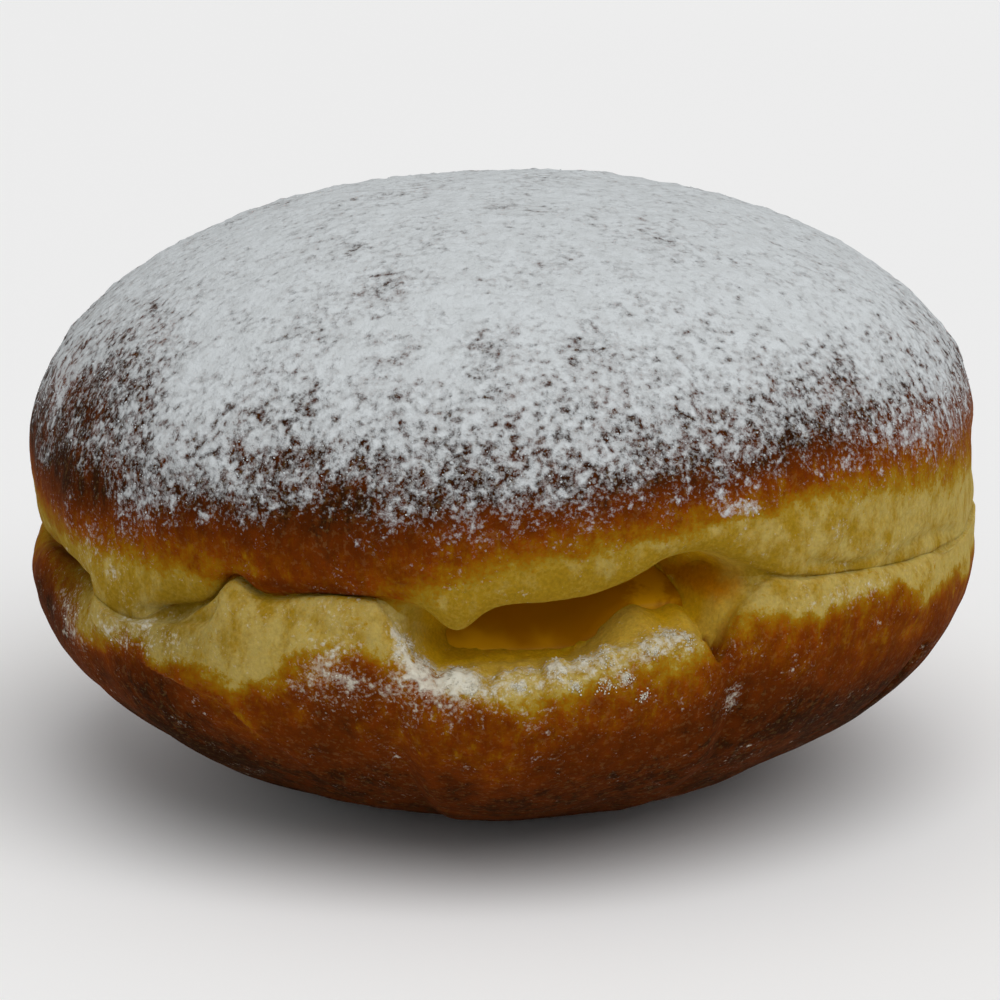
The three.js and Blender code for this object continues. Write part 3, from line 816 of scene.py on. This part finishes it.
SUGAR_EDGE = [  # the height of the coat's lower edge, and waves in it
    40.7, (-64, 9, 2.4), (-42, 9, -2.8), (-6, 8, -1.0), (17, 10, 2.0), (42, 13, 2.8), (70, 9, -1.2)]
SUGAR_FADE = (2.1, 1.6)  # mm of height for each step of cover, above the edge and below it
SUGAR_LIMITS = (-5.0, 4.2)
SUGAR_BLOTCHES = [(6.5, 4, 1.2), (2.4, 4, 1.3)]  # size across in mm, octaves and steps
DRIFTS = [  # extra or missing sugar on the upper lobe: azimuth, height, width, how tall, steps
    (-38, 38.8, 5, 2.0, 1.3),
    (-47, 33.6, 5.0, 2.4, 1.9),
    (-52, 29.0, 8, 3.5, 2.6),
    (-9, 36.0, 5, 1.6, 2.0),
    (-66, 37.0, 8, 3.5, 1.6),
    (-73, 33.8, 8, 2.8, 2.2),
    (-55, 43.8, 9, 2.6, -1.6),
    (-63, 40.8, 5, 2.0, -1.4),
    (-40, 33.3, 3, 1.6, -1.2),
    (-23, 36.7, 3.5, 1.2, 1.2),
    (12, 40.6, 2.6, 1.1, 1.8),
    (41, 40.9, 4, 1.5, -0.8),
    (47, 47.8, 14, 2.4, 1.6),
    (51, 38.9, 4, 1.4, 1.0),
    (60, 41, 6, 3, -0.5),
    (-18, 41.5, 6, 1.4, 1.0),
    (28.5, 35.6, 3.4, 0.5, 3.4),
    (26, 42.5, 9, 1.8, 0.8),
    (8, 43.0, 5, 1.6, 0.4),
]
THIN_SPOTS = [  # places on the crown where the crust shows through: x, y, size and steps
    (-0.3, -10.4, 1.6, -3.2),
    (14.9, -15.1, 1.3, -3.2),
    (-13.2, -18, 0.9, -3.2),
    (-9.7, -25.1, 3.0, -2.0),
    (-15.4, -28.9, 3.4, -2.0),
    (-1.1, -26.9, 1.0, -2.6),
    (1.5, -27, 0.9, -2.6),
    (-8.9, -33.8, 2.2, -1.8),
    (-1.3, -35.7, 3.2, -1.9),
    (7.5, -33.8, 1.8, -1.6),
    (11.8, -29.3, 2.0, -1.6),
    (15.7, -30.1, 2.2, -1.7),
    (-3, 14, 2.6, -2.2),
    (-27, -18.9, 1.8, -1.6),
    (20, 12, 3.2, -2.0),
    (-22, 6, 2.8, -2.0),
]
LOWER_DRIFTS = [  # sugar caught on the lower lobe
    (-66, 20.5, 7, 3.0, 3.2),
    (-46, 24.2, 4, 0.9, 3.6),
    (-50, 22.0, 5, 1.8, 2.8),
    (-41, 22.6, 8, 1.8, 1.6),
    (-28, 26.5, 6, 2.0, 1.5),
    (-17, 22.0, 5, 4.0, 2.5),
    (-8, 20.8, 6, 2.4, 1.8),
    (-1, 18.5, 12, 2.4, 1.8),
    (27.8, 18.3, 1.3, 1.8, 3.9),
    (40, 26.2, 9, 1.0, 2.0),
]
HEAPS = [  # small heaps along the rim: azimuth, height, size
    (-11, 24.3, 0.7), (-8.6, 22.7, 0.8), (-5.5, 21.6, 1.1), (-3.4, 21.2, 0.8), (2, 21.2, 0.7),
    (6.5, 22.4, 0.8), (9.4, 22.9, 0.8), (12, 23.2, 1.1), (8.2, 21.3, 0.8), (11.5, 21.2, 1.0),
    (13.8, 21.8, 0.8), (15.7, 20.0, 0.6), (17, 23.8, 0.8), (19.7, 24.8, 1.0), (21.6, 24.2, 0.8)]
HEAP_STEPS = 3.4
RIM_SUGAR = 3.4  # steps of extra sugar along the torn rim
RIM_SPREAD = 1.4  # mm below the rim
RIM_FADE = 0.7  # mm above the rim, and further in than its width
RIM_WIDTH = 2.9
SUGAR_DEPTH = 3.2  # none lies deeper in the fold than this
SUGAR_DEPTH_FADE = 1.5
SUGARED_RIM = (-13, 21.8, 3, 1.8)
SUGAR_THICKNESS = 0.32
COAT_START = -0.6  # the coat thickens from this level, over this many steps
COAT_STEPS = 2.6
LUMPS = (1.9, 3)  # size across in mm and octaves
EVEN_SHARE = 0.6  # what share of the thickness is even, and how much the lumps add
LUMP_SHARE = 0.9


def heap_distance(azimuth, height, at, middle):
    return np.hypot(turn_between(azimuth, at) * math.radians(LOWER_RADIUS), height - middle)


def sugar_level(spots, azimuth, radius, height):
    """How much sugar lies at each place, in steps from none at -3 to a full coat at 3."""
    s = section_sizes(azimuth)
    blotches = sum(clouds(spots, *blotch) for blotch in SUGAR_BLOTCHES)
    up = height - add_waves(azimuth, SUGAR_EDGE[0], SUGAR_EDGE[1:])
    up = up / np.where(up > 0, *SUGAR_FADE)
    level = np.clip(up, *SUGAR_LIMITS) + blotches
    low = SUGAR_LIMITS[0] + blotches
    for drifts, target in ((DRIFTS, level), (LOWER_DRIFTS, low)):
        for drift in drifts:
            target += patch(azimuth, height, *drift)
    for at, middle, size in HEAPS:
        low += HEAP_STEPS * np.exp(-(heap_distance(azimuth, height, at, middle) / size) ** 2)
    for x, y, size, steps in THIN_SPOTS:
        away = np.hypot(spots[:, 0] - x, spots[:, 1] - y) / size
        level += steps * np.exp(-away ** 2) * (height > UPPER_EQUATOR)
    above_rim = np.maximum(0, height - s["rim"]) / RIM_FADE
    above_rim += np.maximum(0, LOWER_RADIUS - RIM_WIDTH - radius) / RIM_FADE
    on_rim = np.exp(-((s["rim"] - height) / RIM_SPREAD) ** 2 - above_rim)
    low += RIM_SUGAR * stretch(azimuth, SUGARED_RIM) * on_rim
    level = np.where(on_upper_lobe(s, height), level, low)
    inside = smooth((lesser_radius(s) - SUGAR_DEPTH - radius) / SUGAR_DEPTH_FADE)
    inside = np.where(np.abs(height - s["lip"]) < FOLD_REACH, inside, 0)
    return blend(level, SUGAR_LIMITS[0], inside)


spots, _, azimuth, radius, height = points_of(bun.data)
level = sugar_level(spots, azimuth, radius, height)
paint(bun.data, "sugar", level)
coat = smooth((level - COAT_START) / COAT_STEPS)
lumps = np.maximum(0, clouds(spots, *LUMPS))
push_out(bun.data, SUGAR_THICKNESS * coat * (EVEN_SHARE + LUMP_SHARE * lumps))

SUGAR_WHITE = (0.60, 0.63, 0.645)
SUGAR_SHADE = (0.545, 0.57, 0.58)
SUGAR_CREAM = (0.60, 0.575, 0.48)  # on the oily torn rim
CREAM_TO_WHITE = (27, 32)
SUGAR_CLOUDS = (1.6, 4, 0.65)  # grains: size in mm, detail and roughness
SUGAR_CLOUD_EDGE = (-2, 2)
SPECKS = (0.74, 3, 0.58)
PATCHES = (1.8, 2, 0.5)
DUST = (0.36, 3, 0.65)
POWDER = (0.9, 4, 0.6)
SPECK_STEPS = 1.25  # how much each grain moves the level
PATCH_STEPS = 0.55
DUST_PATCH_STEPS = 0.3
SPECKS_AT = (-1.8, 1.4)  # the specks close up between these two levels
SPECKS_COVER = 0.79
COAT_AT = (1.3, 4.6)  # and what still shows between them goes here
COAT_COVERS = 0.21
DUST_THINS = 0.8  # fine dust lies below the coat, and no thicker than this
DUST_MOST = -1.1
DUST_AT = (-2.2, 0.7)
DUST_COVERS = 0.40
EDGE_AT = (-1, 2.5)  # the specks stand up between these two levels
EDGE_HEIGHT = 0.12
POWDER_HEIGHT = 0.03


def sugar_shader(here, bump):
    cloudy = here.grain(*SUGAR_CLOUDS).between(*SUGAR_CLOUD_EDGE)
    high = along(here, 2).between(*CREAM_TO_WHITE)
    powder = high.mix(SUGAR_CREAM, cloudy.mix(SUGAR_SHADE, SUGAR_WHITE))
    return shader(here, {"Base Color": powder, "Roughness": 0.9, "Specular IOR Level": 0.1,
                         "Normal": bump})


here = dough.node("ShaderNodeTexCoord", output="Object")
level_wire = attribute(here, "sugar")
patches = here.grain(*PATCHES)
amount = level_wire + here.grain(*SPECKS) * SPECK_STEPS + patches * PATCH_STEPS
cover = amount.between(*SPECKS_AT) * SPECKS_COVER + amount.between(*COAT_AT) * COAT_COVERS
thin = (level_wire * DUST_THINS).smaller(DUST_MOST)
dust = (thin + patches * DUST_PATCH_STEPS + here.grain(*DUST)).between(*DUST_AT) * DUST_COVERS
cover = cover.larger(dust)
sugar_bump = bumps(here, amount.between(*EDGE_AT) * EDGE_HEIGHT + here.grain(*POWDER) * POWDER_HEIGHT)
show(here.node("ShaderNodeMixShader", {}, {0: cover, 1: dough, 2: sugar_shader(here, sugar_bump)}))

# Loose clots of sugar stand on the coat where it breaks up, and in small heaps on the torn rim.
SEED = 20  # all sizes of clots are radii
CLOTS = 3000
CLOT_SIZE = 0.055  # the middle one
CLOT_SPREAD = 0.4
CLOT_LARGEST = 0.14
CLOT_SINK = 0.25  # how much of its radius a clot sinks into the skin
CLOT_LIFT = 0.02
CLOTS_AT = -0.3  # most lie where the sugar's level is this, within this many steps
CLOTS_WITHIN = 1.2
COAT_CLOTS = 0.02  # and a few on all of the coat, from this level and over this many steps
COAT_CLOTS_START = -1
COAT_CLOTS_STEPS = 2
CLOTS_LOWEST = 5  # none hang underneath, below this height
HEAP_CLOTS = 40
HEAP_CLOT_SIZES = (0.04, 0.09)
HEAP_WIDTH = 0.55  # shares of a heap's size
HEAP_LIFT = 0.12
HEAP_DEPTH = 4  # a heap reaches no further into the mouth than this
FAR_OFF = 9  # times a heap's size, where it has no clots
CORNERS_UNEVEN = (0.82, 1.2)  # from and to, as shares of a clot's size
SIDES_UNEVEN = (0.6, 1.4)
CLOT_GRAIN = (0.12, 2, 0.6)
CLOT_GRAIN_HEIGHT = 0.01


def unit_lump():
    """The corners and faces of an icosahedron of radius 1."""
    golden = (1 + math.sqrt(5)) / 2
    corners = np.array([np.roll((0, a, b * golden), turn)
                        for turn in range(3) for a in (-1, 1) for b in (-1, 1)], float)
    corners /= math.hypot(1, golden)
    apart = np.linalg.norm(corners[:, None] - corners[None, :], axis=2)
    touching = apart < 1.01 * apart[0, 1:].min()
    faces = []
    for a, b, c in itertools.combinations(range(len(corners)), 3):
        if touching[a, b] and touching[b, c] and touching[a, c]:
            out = np.cross(corners[b] - corners[a], corners[c] - corners[a]) @ corners[a]
            faces.append((a, b, c) if out > 0 else (a, c, b))
    return corners, np.array(faces)


def scatter(name, centres, radii, rng):
    """One mesh of small uneven lumps, one at each centre."""
    corners, faces = unit_lump()
    count = len(centres)
    first = rng.normal(size=(count, 3))
    first /= np.linalg.norm(first, axis=1, keepdims=True)
    second = np.cross(first, rng.normal(size=(count, 3)))
    second /= np.linalg.norm(second, axis=1, keepdims=True)
    axes = np.stack([first, second, np.cross(first, second)], 1)
    uneven = rng.uniform(*CORNERS_UNEVEN, (count, len(corners), 1))
    uneven = uneven * rng.uniform(*SIDES_UNEVEN, (count, 1, 3))
    shaped = np.einsum("nvk,nkj->nvj", corners[None] * uneven, axes) * radii[:, None, None]
    points = (centres[:, None] + shaped).reshape(-1, 3)
    faces = (faces[None] + np.arange(count)[:, None, None] * len(corners)).reshape(-1, 3)
    return mesh_object(name, points, faces.tolist())


rng = np.random.default_rng(SEED)
spots, normals, azimuth, radius, height = points_of(bun.data)
bun.data.calc_loop_triangles()
triangles = read(bun.data, bun.data.loop_triangles, "vertices", 3).astype(int)
corners = spots[triangles]
area = np.linalg.norm(np.cross(corners[:, 1] - corners[:, 0], corners[:, 2] - corners[:, 0]), axis=1)
wanted = np.exp(-((level - CLOTS_AT) / CLOTS_WITHIN) ** 2)
wanted += COAT_CLOTS * smooth((level - COAT_CLOTS_START) / COAT_CLOTS_STEPS)


def lie_on_skin(chance, sizes, lift):
    """Middles of clots of these sizes, sunk a little in the skin or raised by up to the lift."""
    count = len(sizes)
    picked = rng.choice(len(triangles), count, p=chance / chance.sum())
    middles = np.einsum("nk,nkj->nj", rng.dirichlet((1, 1, 1), count), corners[picked])
    raised = rng.uniform(0, lift, count) - CLOT_SINK * sizes
    return middles + raised[:, None] * normals[triangles[picked, 0]]


clot_radii = np.minimum(CLOT_SIZE * np.exp(CLOT_SPREAD * rng.normal(size=CLOTS)), CLOT_LARGEST)
centres = [lie_on_skin(area * wanted[triangles].mean(1), clot_radii, CLOT_LIFT)]
clot_radii = [clot_radii]
for at, middle, size in HEAPS:
    away = heap_distance(azimuth, height, at, middle)
    away = np.where(radius > LOWER_RADIUS - HEAP_DEPTH, away, FAR_OFF * size)[triangles].mean(1)
    clot_radii.append(rng.uniform(*HEAP_CLOT_SIZES, HEAP_CLOTS))
    chance = area * np.exp(-(away / (HEAP_WIDTH * size)) ** 2)
    centres.append(lie_on_skin(chance, clot_radii[-1], HEAP_LIFT * size))
centres = np.concatenate(centres)
clot_radii = np.concatenate(clot_radii)
kept = centres[:, 2] > CLOTS_LOWEST
grains = scatter("sugar_clots", centres[kept], clot_radii[kept], rng)
here = finish_of(grains, "icing_sugar")
show(sugar_shader(here, bumps(here, here.grain(*CLOT_GRAIN) * CLOT_GRAIN_HEIGHT)))
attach(grains, "root")


# ==== The set =====================================================================================
# A wide pale table, even light from all round and one broad soft light from above and in front.

FLOOR_SIDE = 6  # in metres
PAPER_LIGHT = (0.92, 0.92, 0.92)
PAPER_SHADE = (0.90, 0.90, 0.90)
PAPER_GRAIN = (900, 2, 0.5)
SURROUND_LIGHT = 0.51
SOFTBOX_LIGHT = 1.65
SOFTBOX_WIDTH = 60  # degrees
SOFTBOX_SIDE = (0.30, -0.64, 1.08)  # it shines from this side
CAMERA_DISTANCE = 0.4  # in metres
CAMERA_RISE = math.radians(14)
CAMERA_NEAREST = 0.01
CAMERA_LENS = 150.3  # in mm, as the next two are
CAMERA_SENSOR = 36
AIM = (-0.06, 0, 26.55)

bpy.ops.mesh.primitive_plane_add(size=FLOOR_SIDE)
floor = bpy.context.object
floor.name = "table"
here = finish_of(floor, "pale_table")
paper = here.grain(*PAPER_GRAIN).between(-1, 1).mix(PAPER_SHADE, PAPER_LIGHT)
show(shader(here, {"Base Color": paper, "Roughness": 0.9}))

world = bpy.data.worlds.new("studio")
bpy.context.scene.world = world
world.use_nodes = True
background = world.node_tree.nodes["Background"].inputs
background["Color"].default_value = (1, 1, 1, 1)
background["Strength"].default_value = SURROUND_LIGHT

softbox = bpy.data.lights.new("softbox", "SUN")
softbox.energy = SOFTBOX_LIGHT
softbox.angle = math.radians(SOFTBOX_WIDTH)
lamp = bpy.data.objects.new("softbox", softbox)
lamp.rotation_euler = Vector(SOFTBOX_SIDE).to_track_quat("Z", "Y").to_euler()
bpy.context.scene.collection.objects.link(lamp)

lens = bpy.data.cameras.new("camera")
lens.lens = CAMERA_LENS
lens.sensor_width = CAMERA_SENSOR
lens.clip_start = CAMERA_NEAREST
camera = bpy.data.objects.new("camera", lens)
towards_camera = Vector((0, -math.cos(CAMERA_RISE), math.sin(CAMERA_RISE)))
camera.location = Vector(AIM) * MM + CAMERA_DISTANCE * towards_camera
camera.rotation_euler = (math.pi / 2 - CAMERA_RISE, 0, 0)
bpy.context.scene.collection.objects.link(camera)
bpy.context.scene.camera = camera
bpy.context.scene.view_settings.view_transform = "Standard"
